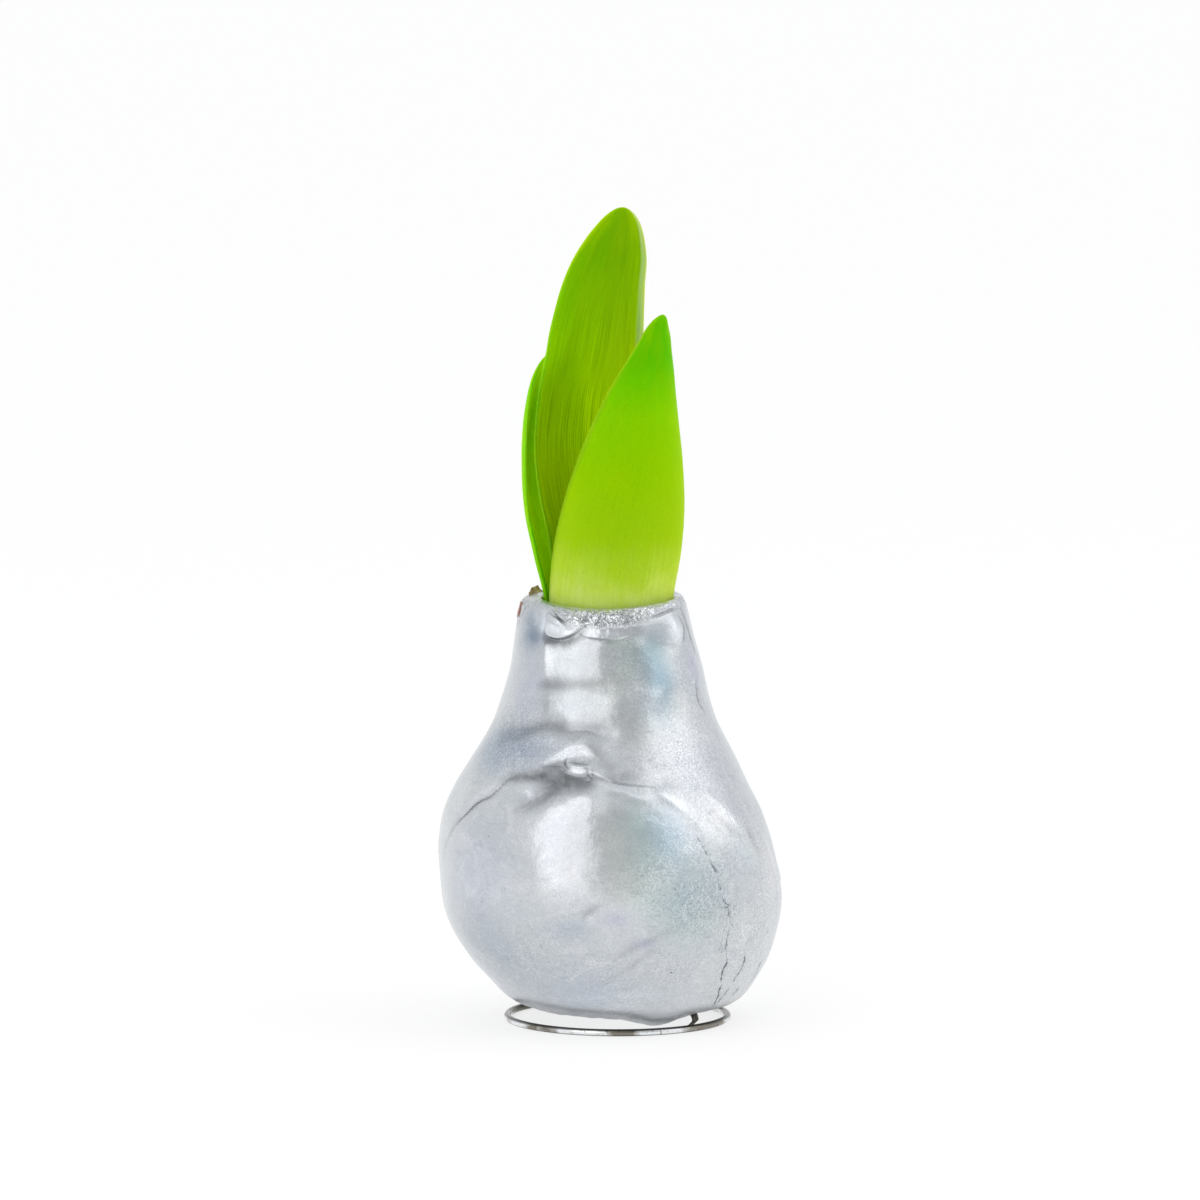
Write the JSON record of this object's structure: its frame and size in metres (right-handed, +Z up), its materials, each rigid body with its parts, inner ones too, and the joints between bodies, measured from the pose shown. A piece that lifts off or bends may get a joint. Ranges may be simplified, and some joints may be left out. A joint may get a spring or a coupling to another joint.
{
  "type": "waxed amaryllis bulb",
  "caption": "Amaryllis bulb dipped in silver wax, with young strap leaves out of its neck, standing on a ring of bent wire.",
  "frame": {"origin": "on the ground, under the middle of the dipped bulb", "axes": "+Z up along the bulb's height, -Y towards the front, where the broad leaf wraps round, +X to the right seen from the front"},
  "size_m": [0.0954, 0.0951, 0.2269],
  "materials": {
    "silver_wax": "satin",
    "papery_tunic": "matte",
    "leaf_lime": "satin",
    "leaf_green": "satin",
    "leaf_deep_green": "satin",
    "chrome_wire": "polished"
  },
  "bodies": {
    "root": {"wax_coat": "silver_wax", "bulb": "papery_tunic", "leaf_front": "leaf_lime", "leaf_tall": "leaf_green", "leaf_left": "leaf_deep_green", "wire_stand": "chrome_wire"}
  },
  "joints": []
}
